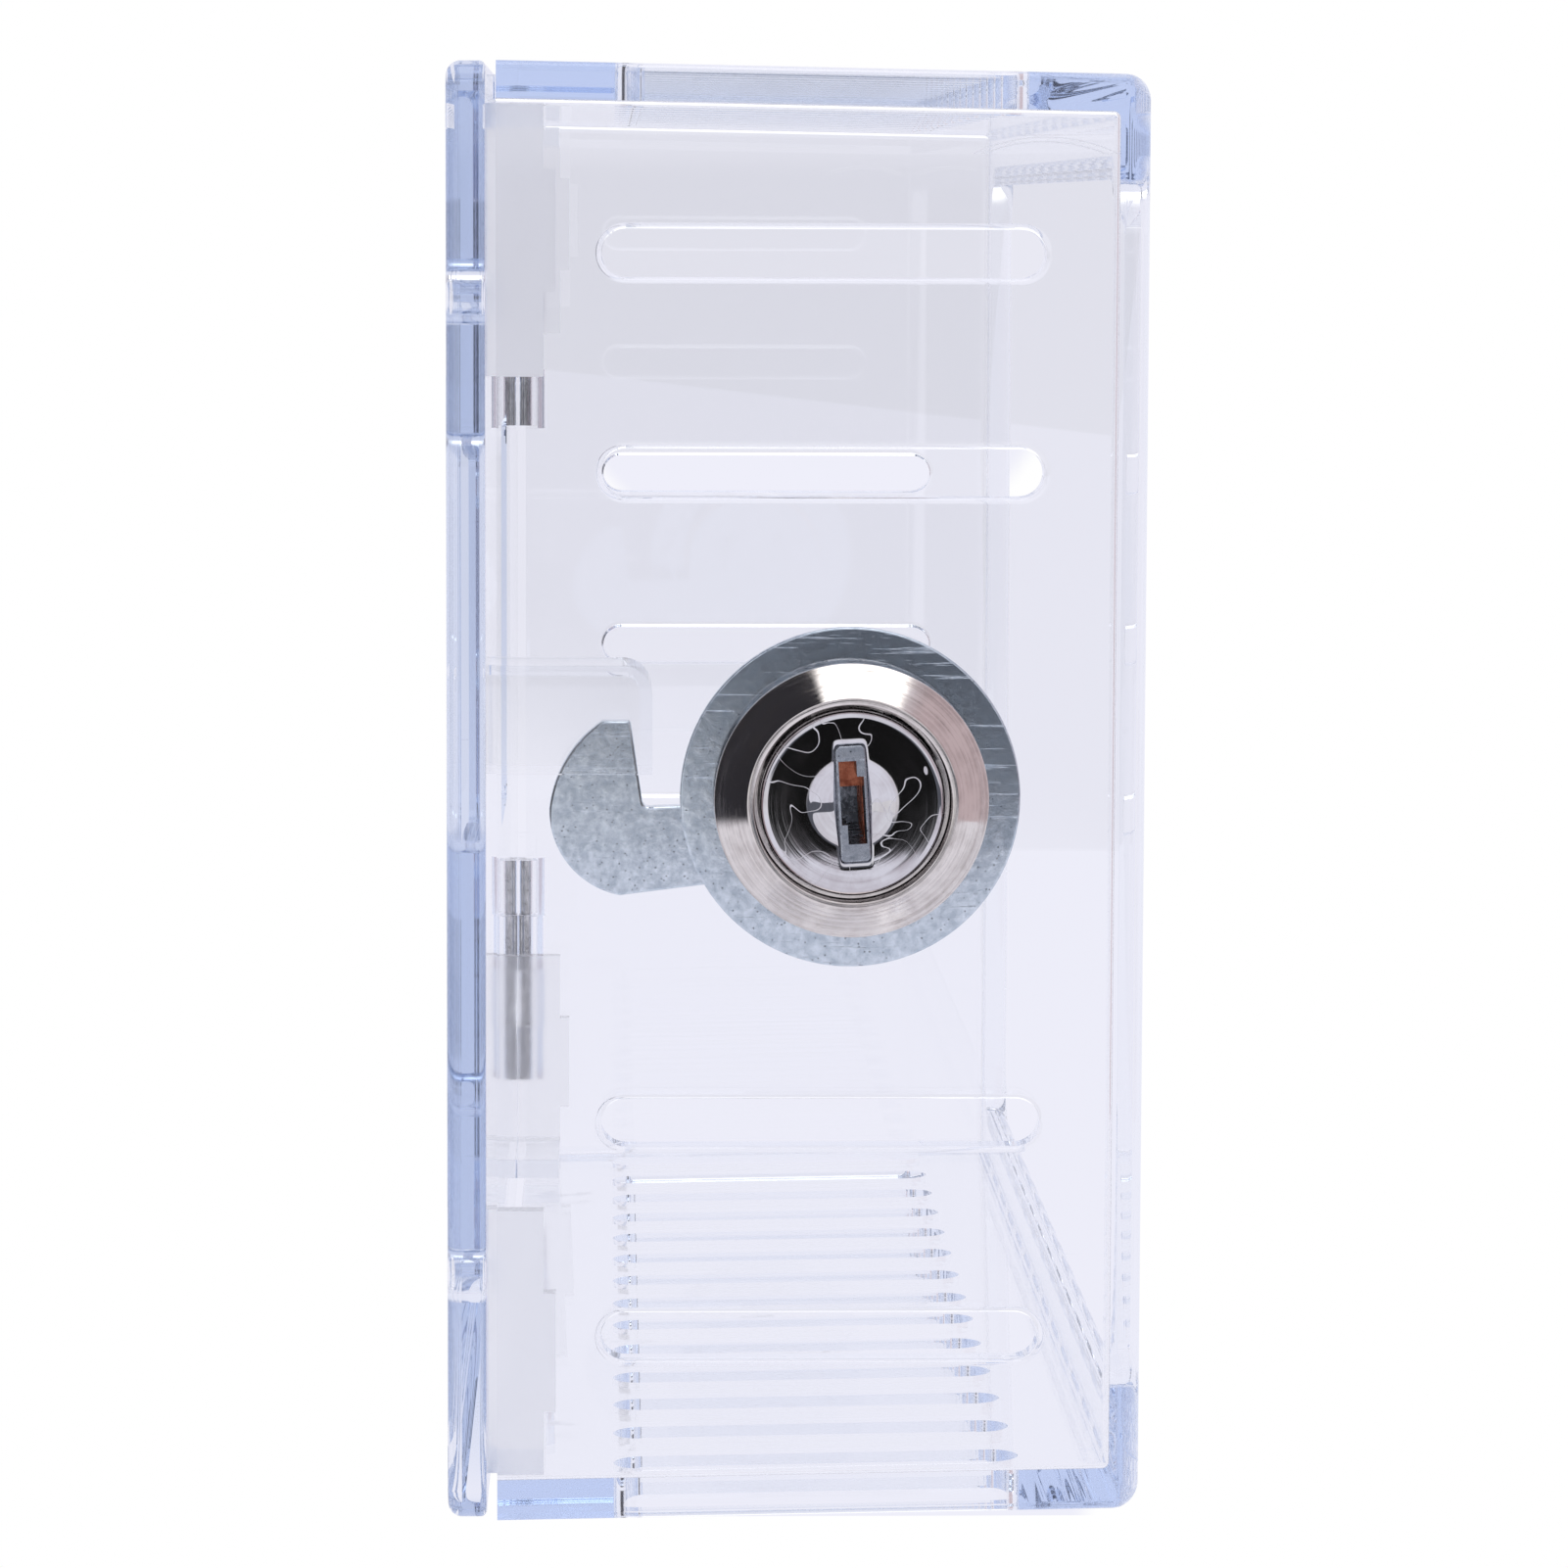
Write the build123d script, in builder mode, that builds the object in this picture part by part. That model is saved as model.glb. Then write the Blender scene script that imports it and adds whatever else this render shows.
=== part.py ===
from build123d import *
import os
from math import cos, radians, sin, tan

os.makedirs("parts", exist_ok=True)

# A clear moulded lock box that covers a wall thermostat. Sizes are in millimetres.
# The wall is the XZ plane at y = 0 and the box stands out from it towards -Y.
# +Z is up, the cam lock is in the -X end wall and the cover swings about its +X end.

# Overall size
box_length = 176.0            # along X, without the hinge knuckles
box_height = 120.0            # along Z, at the cover's rim
box_depth = 57.3              # wall face to front face

# Base plate
base_thickness = 3.2
base_corner_radius = 2.5
base_back_radius = 1.2
base_front_radius = 0.5
screw_hole_radius = 2.3       # for 4 mm wall screws
screw_span_x = 152.0
screw_span_z = 81.6
wire_window_length = 30.0
wire_window_height = 38.0
wire_window_z = 9.0
wire_window_radius = 3.0

# Cover shell
cover_gap = 0.9               # base plate to the cover's rim
wall = 3.0
front_wall = 2.4
cover_draft = 1.0             # degrees, on the two long walls
front_edge_radius = 2.2
upright_edge_radius = 0.8
inner_edge_radius = 0.6

# Vents
vent_edge_radius = 0.5
vent_depth = 30.7             # wall face to the middle of every vent
end_vent_length = 36.1
end_vent_width = 3.95
lock_vent_pitch = 17.8
hinge_vent_pitch = 18.95
long_vent_length = 34.0
long_vent_width = 4.85
long_vent_count = 14
long_vent_inset = 9.35        # end wall's outer face to the middle of the first vent

# Front opening, framed by a lip all round
front_border_end = 9.2        # end wall's outer face to the opening
front_border_side = 9.4       # rim's long side to the opening
front_opening_corner = 4.4
front_opening_round = 2.0

# Ribs and seat pads on the base plate
rib_clearance = 0.4
rib_thickness = 2.0
rib_height = 4.7
rib_length = 22.2
rib_return = 18.0
lug_height = 1.0
lug_length = 10.0
lug_start = 5.3               # top of the rib to the lug
seat_clearance = 0.3
seat_width = 2.2
seat_length = 8.0
seat_span = 96.0

# Two hinges whose axis is the rim's outer corner at the +X end
hinge_span = 72.8             # between the middles of the hinges
knuckle_count = 4             # the one nearest the middle is the base plate's, then in turn
knuckle_pitch = 6.2
knuckle_gap = 0.3
knuckle_radius = 1.85
knuckle_clearance = 0.3
pin_radius = 0.8
pin_clearance = 0.05

# Lock housing, measured along the lock's axis from the lock wall's outer face
lock_depth = 33.1             # wall face to the lock's axis
body_radius = 9.4
body_length = 19.7
body_flat = 8.0               # axis to each of the two flats
lock_hole_clearance = 0.2
thread_pitch = 1.0
thread_depth = 0.55
thread_start = 3.2
head_radius = 11.25
head_rim = 0.7
head_height = 3.4
head_front_radius = 8.6
mouth_radius = 8.1
mouth_floor = 0.6
washer_radius = 14.0
washer_thickness = 1.2
nut_flats = 22.0
nut_thickness = 4.0
thread_clearance = 0.1

# Plug, its cap and its keyway
plug_radius = 6.0
plug_fit = 0.04
plug_end_clearance = 0.3
flange_radius = 7.1
flange_back = 0.95
flange_front = 2.3
keyway_lean = 3.5             # degrees, its top towards the wall
cap_radius = 7.55
cap_front = 3.1
cap_back = 1.5
cap_round = 0.5
cap_fit = 0.05
dish_radius = 3.5
dish_depth = 0.5
nose_width = 2.47
nose_height = 9.5
nose_corner = 0.45
nose_proud = 0.2
nose_round = 0.15
key_slot_end = 15.2
key_slot_top = 3.5
key_slot_bottom = 3.3
key_slot_half_width = 1.0
upper_ward_edge = 0.46
upper_ward_height = 1.3
lower_ward_edge = 0.53
lower_ward_height = 1.6

# Wafers and their springs
wafer_count = 5
wafer_first = 3.0
wafer_pitch = 2.5
wafer_thickness = 1.2
wafer_width = 5.0
wafer_half_height = 5.3
wafer_travel = 0.6
wafer_fit = 0.05
window_width = 1.9
window_height = 5.06
window_centre = -1.07
window_drops = [0.0, 0.8, 0.4, 0.6, 0.2]
tab_reach = 1.45
tab_height = 1.0
groove_clearance = 0.35
spring_wire = 0.25
spring_radius = 0.5
spring_length = 3.6
spring_turns = 5
spring_end_clearance = 0.05
spring_pocket = 1.6

# Cam and what holds it on the plug
square_side = 7.0
square_clearance = 0.1
square_relief = 0.2           # lets the screw clamp the cam
stop_radius = 8.6
stop_thickness = 1.0
stop_groove_radius = 6.95
stop_swing = 90.0             # degrees that the plug turns
stop_margin = 3.0             # degrees left at each end
stop_pip_inner = 7.3
stop_pip_outer = 8.5
stop_pip_half_angle = 9.0
stop_pip_height = 0.95
stop_pip_angle = 100.0        # degrees from the direction of the wall
cam_thickness = 2.0
cam_hub_radius = 9.0
cam_arm_top = 2.65            # below the lock's axis, at the prong
cam_arm_top_at_hub = 2.0
cam_arm_bottom = 10.2
cam_arm_bottom_at_hub = 7.8
cam_elbow_reach = 18.9        # lock's axis to the end of the arm's lower edge
cam_inner_reach = 16.9        # lock's axis to the foot of the prong
cam_inner_radius = 0.6
prong_reach = 18.0            # lock's axis to the prong's top, near side
prong_top = 4.75
prong_width = 2.4
cam_tip_reach = 24.9
cam_tip_drop = 2.75
cam_shoulder = (23.1, 2.05)    # a point on the arc from the prong's top to the tip
cam_elbow = (23.25, -7.6)      # a point on the arc from the tip to the elbow
spring_washer_radius = 4.6
spring_washer_thickness = 1.0
spring_washer_gap = 0.8
screw_radius = 2.0
screw_clearance = 0.05
screw_head_radius = 4.3
screw_head_height = 2.4
screw_head_round = 0.6
screw_length = 7.0
recess_length = 4.2
recess_width = 1.0
recess_depth = 1.3

# Keeper on the base plate, which the cam's prong turns up into
keeper_wall = 1.1
keeper_side_wall = 1.4
keeper_side_clearance = 2.6
keeper_front_reach = 17.25    # lock's axis to the keeper's inner front
keeper_bottom = 0.5
keeper_inner_top = 8.8
keeper_top_wall = 0.9
keeper_corner_radius = 2.5

# Places that follow from the sizes above
lock_end = -box_length / 2
hinge_end = box_length / 2
rim_depth = base_thickness + cover_gap
inner_front = box_depth - front_wall
taper = tan(radians(cover_draft))
stop_start = body_length + plug_end_clearance
cam_start = stop_start + stop_thickness
cam_end = cam_start + cam_thickness
lock_plane = Plane(origin=(lock_end, -lock_depth, 0), x_dir=(0, 1, 0), z_dir=(1, 0, 0))
lean = radians(keyway_lean)
plug_plane = Plane(origin=lock_plane.origin, x_dir=(0, cos(lean), -sin(lean)), z_dir=(1, 0, 0))
lock_section = Plane(origin=lock_plane.origin, x_dir=(0, 0, 1), z_dir=(0, 1, 0))
lock_axis = Axis(lock_plane.origin, lock_plane.z_dir)

# Hinge knuckles and the notches that the other half's knuckles turn in
hinge_length = knuckle_count * knuckle_pitch - knuckle_gap
knuckle_middles = [hinge_span / 2 + (index - (knuckle_count - 1) / 2) * knuckle_pitch
                   for index in range(knuckle_count)]
base_knuckles = [side * middle for middle in knuckle_middles[0::2] for side in (-1, 1)]
cover_knuckles = [side * middle for middle in knuckle_middles[1::2] for side in (-1, 1)]
knuckle_length = knuckle_pitch - knuckle_gap
notch_length = knuckle_pitch + knuckle_gap
notch_radius = knuckle_radius + knuckle_clearance
hinge_starts = [Plane.XY.offset(side * hinge_span / 2 - hinge_length / 2) for side in (-1, 1)]

# Base plate: corner ribs, seat pads, hinge knuckles and the keeper are moulded on its front
rib_x = hinge_end - wall - rib_clearance
rib_z = box_height / 2 - wall - rib_clearance
keeper_start = lock_end + cam_start - keeper_side_clearance - keeper_side_wall
keeper_length = cam_thickness + 2 * (keeper_side_clearance + keeper_side_wall)
keeper_inner_y = keeper_front_reach - lock_depth
keeper_outer_y = keeper_inner_y - keeper_wall
keeper_top = keeper_inner_top + keeper_top_wall

with BuildPart() as base_plate:
    with BuildSketch(Plane.XZ):
        RectangleRounded(box_length, box_height, base_corner_radius)
    extrude(amount=base_thickness)
    fillet(base_plate.faces().sort_by(Axis.Y)[-1].edges(), base_back_radius)
    fillet(base_plate.faces().sort_by(Axis.Y)[0].edges(), base_front_radius)
    with BuildSketch(Plane.XZ):
        with Locations((0, wire_window_z)):
            RectangleRounded(wire_window_length, wire_window_height, wire_window_radius)
        with GridLocations(screw_span_x, screw_span_z, 2, 2):
            Circle(screw_hole_radius)
    extrude(amount=base_thickness, mode=Mode.SUBTRACT)
    # L-shaped ribs that the cover's four inner corners close round, each with a raised lug
    for side_x in (-1, 1):
        for side_z in (-1, 1):
            rib_middle_x = side_x * (rib_x - rib_thickness / 2)
            with BuildSketch(Plane.XZ.offset(base_thickness)):
                with Locations((rib_middle_x, side_z * (rib_z - rib_length / 2))):
                    Rectangle(rib_thickness, rib_length)
                with Locations((side_x * (rib_x - rib_return / 2), side_z * (rib_z - rib_thickness / 2))):
                    Rectangle(rib_return, rib_thickness)
            extrude(amount=rib_height)
            with BuildSketch(Plane.XZ.offset(base_thickness)):
                with Locations((rib_middle_x, side_z * (rib_z - lug_start - lug_length / 2))):
                    Rectangle(rib_thickness, lug_length)
            extrude(amount=rib_height + lug_height)
    # Pads under the long rims
    with BuildSketch(Plane.XZ.offset(base_thickness)):
        with GridLocations(seat_span, box_height - wall, 2, 2):
            Rectangle(seat_length, seat_width)
    extrude(amount=cover_gap - seat_clearance)
    # Notches for the cover's knuckles, then the base plate's own knuckles on a short foot
    with BuildSketch(*[Plane.XY.offset(middle - notch_length / 2) for middle in cover_knuckles]):
        with Locations((hinge_end, -rim_depth)):
            Circle(notch_radius)
    extrude(amount=notch_length, mode=Mode.SUBTRACT)
    with BuildSketch(*[Plane.XY.offset(middle - knuckle_length / 2) for middle in base_knuckles]):
        with Locations((hinge_end, -rim_depth)):
            Circle(knuckle_radius)
            Rectangle(knuckle_radius, rim_depth - base_thickness, align=(Align.MAX, Align.MIN))
    extrude(amount=knuckle_length)
    with BuildSketch(*hinge_starts):
        with Locations((hinge_end, -rim_depth)):
            Circle(pin_radius + pin_clearance)
    extrude(amount=hinge_length, mode=Mode.SUBTRACT)
    # Keeper: a hood that is open at the bottom, where the cam's prong turns in
    with BuildSketch(Plane.YZ.offset(keeper_start)):
        with BuildLine():
            Polyline((-base_thickness, keeper_bottom), (keeper_outer_y, keeper_bottom),
                     (keeper_outer_y, keeper_top), (-base_thickness, keeper_top), close=True)
        make_face()
        fillet(vertices().sort_by_distance((keeper_outer_y, keeper_top))[0], keeper_corner_radius)
    extrude(amount=keeper_length)
    with BuildSketch(Plane.YZ.offset(keeper_start + keeper_side_wall)):
        with BuildLine():
            Polyline((-base_thickness, keeper_bottom), (keeper_inner_y, keeper_bottom),
                     (keeper_inner_y, keeper_inner_top), (-base_thickness, keeper_inner_top), close=True)
        make_face()
        fillet(vertices().sort_by_distance((keeper_inner_y, keeper_inner_top))[0],
               keeper_corner_radius - keeper_wall)
    extrude(amount=keeper_length - 2 * keeper_side_wall, mode=Mode.SUBTRACT)
base_plate.part.label = "base_plate"
export_step(base_plate.part, "parts/base_plate.step")

# Cover: a drafted shell, open towards the wall and at the front, with vents in its four walls
cover_front_half = box_height / 2 - taper * (box_depth - rim_depth)
cavity_rim_half = box_height / 2 - wall
cavity_front_half = cavity_rim_half - taper * (inner_front - rim_depth)
long_vent_pitch = (box_length - 2 * long_vent_inset) / (long_vent_count - 1)

with BuildPart() as cover:
    with BuildSketch(Plane.YZ.offset(lock_end)):
        with BuildLine():
            Polyline((-rim_depth, box_height / 2), (-rim_depth, -box_height / 2),
                     (-box_depth, -cover_front_half), (-box_depth, cover_front_half), close=True)
        make_face()
    extrude(amount=box_length)
    fillet(cover.edges().group_by(Edge.length)[0], upright_edge_radius)
    fillet(cover.faces().sort_by(Axis.Y)[0].edges(), front_edge_radius)
    with BuildSketch(Plane.YZ.offset(lock_end + wall)):
        with BuildLine():
            Polyline((-rim_depth, cavity_rim_half), (-rim_depth, -cavity_rim_half),
                     (-inner_front, -cavity_front_half), (-inner_front, cavity_front_half), close=True)
        make_face()
    extrude(amount=box_length - 2 * wall, mode=Mode.SUBTRACT)
    cavity_edges = cover.edges(Select.LAST).filter_by_position(Axis.Y, -inner_front, -rim_depth - wall)
    fillet(cavity_edges, inner_edge_radius)
    # The lock wall leaves out the vents that the lock would cut
    with BuildSketch(Plane.YZ.offset(lock_end)):
        with Locations(*[(-vent_depth, row * lock_vent_pitch) for row in (-2.5, -1.5, 1.5, 2.5)]):
            SlotOverall(end_vent_length, end_vent_width)
    extrude(amount=wall, mode=Mode.SUBTRACT)
    with BuildSketch(Plane.YZ.offset(hinge_end - wall)):
        with Locations(*[(-vent_depth, row * hinge_vent_pitch) for row in (-1, 0, 1)]):
            SlotOverall(end_vent_length, end_vent_width)
    extrude(amount=wall, mode=Mode.SUBTRACT)
    with BuildSketch(Plane.XZ.offset(inner_front)):
        RectangleRounded(box_length - 2 * front_border_end, box_height - 2 * front_border_side,
                         front_opening_corner)
    extrude(amount=front_wall, mode=Mode.SUBTRACT)
    # The vents in the long walls face each other, so one cut makes both
    with BuildSketch(Plane.XY.offset(-box_height / 2)):
        with Locations((0, -vent_depth)):
            with GridLocations(long_vent_pitch, 0, long_vent_count, 1):
                SlotOverall(long_vent_length, long_vent_width, rotation=90)
    extrude(amount=box_height, mode=Mode.SUBTRACT)
    # Rounded outer edges of the end vents and of the front opening
    fillet(cover.faces().sort_by(Axis.X)[0].inner_wires().edges(), vent_edge_radius)
    fillet(cover.faces().sort_by(Axis.X)[-1].inner_wires().edges(), vent_edge_radius)
    fillet(cover.faces().sort_by(Axis.Y)[0].inner_wires().edges(), front_opening_round)
    # Notches for the base plate's knuckles, then the cover's own knuckles
    with BuildSketch(*[Plane.XY.offset(middle - notch_length / 2) for middle in base_knuckles]):
        with Locations((hinge_end, -rim_depth)):
            Circle(notch_radius)
    extrude(amount=notch_length, mode=Mode.SUBTRACT)
    with BuildSketch(*[Plane.XY.offset(middle - knuckle_length / 2) for middle in cover_knuckles]):
        with Locations((hinge_end, -rim_depth)):
            Circle(knuckle_radius)
    extrude(amount=knuckle_length)
    with BuildSketch(*hinge_starts):
        with Locations((hinge_end, -rim_depth)):
            Circle(pin_radius + pin_clearance)
    extrude(amount=hinge_length, mode=Mode.SUBTRACT)
    # Lock hole, whose two flats keep the lock's body from turning
    with BuildSketch(lock_plane):
        Circle(body_radius + lock_hole_clearance)
        Rectangle(2 * (body_flat + lock_hole_clearance), 3 * body_radius, mode=Mode.INTERSECT)
    extrude(amount=wall, mode=Mode.SUBTRACT)
cover.part.label = "cover"
export_step(cover.part, "parts/cover.step")

# Hinge pins, flush with the outer knuckles' ends
for name, hinge_start in zip(("lower_hinge_pin", "upper_hinge_pin"), hinge_starts):
    with BuildPart() as hinge_pin:
        with BuildSketch(hinge_start):
            with Locations((hinge_end, -rim_depth)):
                Circle(pin_radius)
        extrude(amount=hinge_length)
    hinge_pin.part.label = name
    export_step(hinge_pin.part, f"parts/{name}.step")

# Lock housing: a conical head outside the wall and a threaded body with two flats
bore_radius = plug_radius + plug_fit
groove_reach = plug_radius + wafer_travel + groove_clearance
groove_end = wafer_first + (wafer_count - 0.5) * wafer_pitch
thread_count = int((body_length - thread_start) / thread_pitch)
thread_points = []
for turn in range(thread_count):
    crest = thread_start + turn * thread_pitch
    thread_points += [(body_radius, crest), (body_radius - thread_depth, crest + thread_pitch / 2)]

with BuildPart() as lock_housing:
    with BuildSketch(lock_section):
        with BuildLine():
            Polyline((bore_radius, body_length), (bore_radius, -mouth_floor), (mouth_radius, -mouth_floor),
                     (mouth_radius, -head_height), (head_front_radius, -head_height),
                     (head_radius, -head_rim), (head_radius, 0), (body_radius, 0), *thread_points,
                     (body_radius, thread_start + thread_count * thread_pitch),
                     (body_radius, body_length), close=True)
        make_face()
    revolve(axis=lock_axis)
    with BuildSketch(lock_plane):
        Circle(head_radius)
        Rectangle(2 * body_flat, 3 * body_radius, mode=Mode.SUBTRACT)
    extrude(amount=body_length, mode=Mode.SUBTRACT)
    # Four wafer grooves, so that the key can be drawn with the plug at either end of its swing
    with BuildSketch(plug_plane.offset(-mouth_floor)):
        Rectangle(wafer_width + 2 * groove_clearance, 2 * groove_reach)
        Rectangle(2 * groove_reach, wafer_width + 2 * groove_clearance)
    extrude(amount=groove_end + mouth_floor, mode=Mode.SUBTRACT)
    # Pip on the end face, which the stop washer's cut-out swings about
    with BuildSketch(lock_plane.offset(body_length)):
        with BuildLine():
            pip_inner = CenterArc((0, 0), stop_pip_inner, stop_pip_angle - stop_pip_half_angle,
                                  2 * stop_pip_half_angle)
            pip_outer = CenterArc((0, 0), stop_pip_outer, stop_pip_angle - stop_pip_half_angle,
                                  2 * stop_pip_half_angle)
            Line(pip_inner @ 0, pip_outer @ 0)
            Line(pip_inner @ 1, pip_outer @ 1)
        make_face()
    extrude(amount=stop_pip_height)
lock_housing.part.label = "lock_housing"
export_step(lock_housing.part, "parts/lock_housing.step")

# Washer and nut that clamp the housing to the lock wall
with BuildPart() as clamp_washer:
    with BuildSketch(lock_plane.offset(wall)):
        Circle(washer_radius)
        Circle(body_radius + thread_clearance, mode=Mode.SUBTRACT)
    extrude(amount=washer_thickness)
clamp_washer.part.label = "clamp_washer"
export_step(clamp_washer.part, "parts/clamp_washer.step")

with BuildPart() as lock_nut:
    with BuildSketch(lock_plane.offset(wall + washer_thickness)):
        RegularPolygon(nut_flats / 2, 6, major_radius=False)
        Circle(body_radius + thread_clearance, mode=Mode.SUBTRACT)
    extrude(amount=nut_thickness)
lock_nut.part.label = "lock_nut"
export_step(lock_nut.part, "parts/lock_nut.step")

# Plug: turns in the housing, carries the wafers, and its nose shows through the cap
wafer_places = [wafer_first + index * wafer_pitch for index in range(wafer_count)]
slot_width = wafer_width + 2 * wafer_fit
slot_thickness = wafer_thickness + 2 * wafer_fit
spring_x = (wafer_width + tab_reach) / 2
pocket_bottom = -spring_length - spring_end_clearance
pocket_top = tab_height + wafer_travel + wafer_fit
pocket_side = wafer_width / 2 + tab_reach + wafer_fit

with BuildPart() as lock_plug:
    with BuildSketch(plug_plane.offset(-flange_front)):
        Circle(flange_radius)
    extrude(amount=flange_front - flange_back)
    with BuildSketch(plug_plane.offset(-flange_back)):
        Circle(plug_radius)
    extrude(amount=flange_back + stop_start)
    with BuildSketch(plug_plane.offset(stop_start)):
        Rectangle(square_side, square_side)
    extrude(amount=cam_end - square_relief - stop_start)
    with BuildSketch(plug_plane.offset(-cap_front - nose_proud)):
        RectangleRounded(nose_width, nose_height, nose_corner)
    extrude(amount=cap_front + nose_proud - flange_front)
    fillet(lock_plug.faces().sort_by(Axis.X)[0].edges(), nose_round)
    # Key slot with a ward at the top of one side and at the bottom of the other
    with BuildSketch(plug_plane.offset(-cap_front - nose_proud)):
        with BuildLine():
            Polyline((-key_slot_half_width, -key_slot_bottom),
                     (-key_slot_half_width, key_slot_top - upper_ward_height),
                     (-upper_ward_edge, key_slot_top - upper_ward_height), (-upper_ward_edge, key_slot_top),
                     (key_slot_half_width, key_slot_top),
                     (key_slot_half_width, lower_ward_height - key_slot_bottom),
                     (lower_ward_edge, lower_ward_height - key_slot_bottom),
                     (lower_ward_edge, -key_slot_bottom), close=True)
        make_face()
    extrude(amount=cap_front + nose_proud + key_slot_end, mode=Mode.SUBTRACT)
    for place in wafer_places:
        with BuildSketch(plug_plane.offset(place - slot_thickness / 2)):
            Rectangle(slot_width, 2 * bore_radius)
        extrude(amount=slot_thickness, mode=Mode.SUBTRACT)
        with BuildSketch(plug_plane.offset(place - spring_pocket / 2)):
            with Locations((wafer_width / 2, pocket_bottom)):
                Rectangle(pocket_side - wafer_width / 2, pocket_top - pocket_bottom,
                          align=(Align.MIN, Align.MIN))
        extrude(amount=spring_pocket, mode=Mode.SUBTRACT)
    # Blind hole for the cam screw
    with BuildSketch(plug_plane.offset(cam_end)):
        Circle(screw_radius + screw_clearance)
    extrude(amount=-screw_length, mode=Mode.SUBTRACT)
lock_plug.part.label = "lock_plug"
export_step(lock_plug.part, "parts/lock_plug.step")

# Cap: a bright shell over the plug's flange, dished round the keyway
dish_sphere = (dish_radius ** 2 + dish_depth ** 2) / (2 * dish_depth)

with BuildPart() as plug_cap:
    with BuildSketch(plug_plane.offset(-cap_front)):
        Circle(cap_radius)
    extrude(amount=cap_front - cap_back)
    fillet(plug_cap.faces().sort_by(Axis.X)[0].edges(), cap_round)
    with BuildSketch(plug_plane.offset(-flange_front)):
        Circle(flange_radius + cap_fit)
    extrude(amount=flange_front - cap_back, mode=Mode.SUBTRACT)
    with Locations(plug_plane.offset(dish_depth - cap_front - dish_sphere)):
        Sphere(dish_sphere, mode=Mode.SUBTRACT)
    with BuildSketch(plug_plane.offset(-cap_front)):
        RectangleRounded(nose_width + 2 * cap_fit, nose_height + 2 * cap_fit, nose_corner)
    extrude(amount=cap_front, mode=Mode.SUBTRACT)
plug_cap.part.label = "plug_cap"
export_step(plug_cap.part, "parts/plug_cap.step")

# Wafers stand inside the plug, and slide up into the housing's grooves when the key is drawn
for index, place in enumerate(wafer_places):
    with BuildPart() as wafer:
        with BuildSketch(plug_plane.offset(place - wafer_thickness / 2)):
            Rectangle(wafer_width, 2 * wafer_half_height)
            with Locations((wafer_width / 2, 0)):
                Rectangle(tab_reach, tab_height, align=(Align.MIN, Align.MIN))
            with Locations((0, window_centre - window_drops[index])):
                Rectangle(window_width, window_height, mode=Mode.SUBTRACT)
        extrude(amount=wafer_thickness)
    wafer.part.label = f"wafer_{index + 1}"
    export_step(wafer.part, f"parts/wafer_{index + 1}.step")

# A coil spring under each wafer's side tab
spring_rise = spring_length - spring_wire - spring_end_clearance
for index, place in enumerate(wafer_places):
    spring_foot = plug_plane.offset(place).from_local_coords((spring_x, -spring_length + spring_wire / 2, 0))
    with BuildPart() as wafer_spring:
        with BuildLine():
            coil = Helix(spring_rise / spring_turns, spring_rise, spring_radius,
                         center=spring_foot, direction=plug_plane.y_dir)
        with BuildSketch(Plane(origin=coil @ 0, z_dir=coil % 0)):
            Circle(spring_wire / 2)
        sweep(path=coil, is_frenet=True)
    wafer_spring.part.label = f"wafer_spring_{index + 1}"
    export_step(wafer_spring.part, f"parts/wafer_spring_{index + 1}.step")

# Stop washer: its cut-out meets the housing's pip at each end of the plug's swing
with BuildPart() as stop_washer:
    with BuildSketch(plug_plane.offset(stop_start)):
        Circle(stop_radius)
        Rectangle(square_side + 2 * square_clearance, square_side + 2 * square_clearance, mode=Mode.SUBTRACT)
    extrude(amount=stop_thickness)
    cut_start = stop_pip_angle - stop_pip_half_angle - stop_margin
    cut_swing = stop_swing + 2 * (stop_pip_half_angle + stop_margin)
    with BuildSketch(lock_plane.offset(stop_start)):
        with BuildLine():
            cut_inner = CenterArc((0, 0), stop_groove_radius, cut_start, cut_swing)
            cut_outer = CenterArc((0, 0), stop_radius + stop_thickness, cut_start, cut_swing)
            Line(cut_inner @ 0, cut_outer @ 0)
            Line(cut_inner @ 1, cut_outer @ 1)
        make_face()
    extrude(amount=stop_thickness, mode=Mode.SUBTRACT)
stop_washer.part.label = "stop_washer"
export_step(stop_washer.part, "parts/stop_washer.step")

# Cam: a hub on the plug's square and an arm whose end hooks up into the keeper
with BuildPart() as hook_cam:
    with BuildSketch(lock_plane.offset(cam_start)):
        with BuildLine():
            inner_edge = Polyline((0, -cam_arm_top_at_hub), (cam_inner_reach, -cam_arm_top),
                                  (prong_reach, prong_top), (prong_reach + prong_width, prong_top))
            shoulder = ThreePointArc(inner_edge @ 1, cam_shoulder, (cam_tip_reach, -cam_tip_drop))
            elbow = ThreePointArc(shoulder @ 1, cam_elbow, (cam_elbow_reach, -cam_arm_bottom))
            Polyline(elbow @ 1, (0, -cam_arm_bottom_at_hub), (0, -cam_arm_top_at_hub))
        make_face()
        fillet(vertices().sort_by_distance((cam_inner_reach, -cam_arm_top))[0], cam_inner_radius)
        Circle(cam_hub_radius)
    extrude(amount=cam_thickness)
    with BuildSketch(plug_plane.offset(cam_start)):
        Rectangle(square_side + 2 * square_clearance, square_side + 2 * square_clearance)
    extrude(amount=cam_thickness, mode=Mode.SUBTRACT)
hook_cam.part.label = "hook_cam"
export_step(hook_cam.part, "parts/hook_cam.step")

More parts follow.
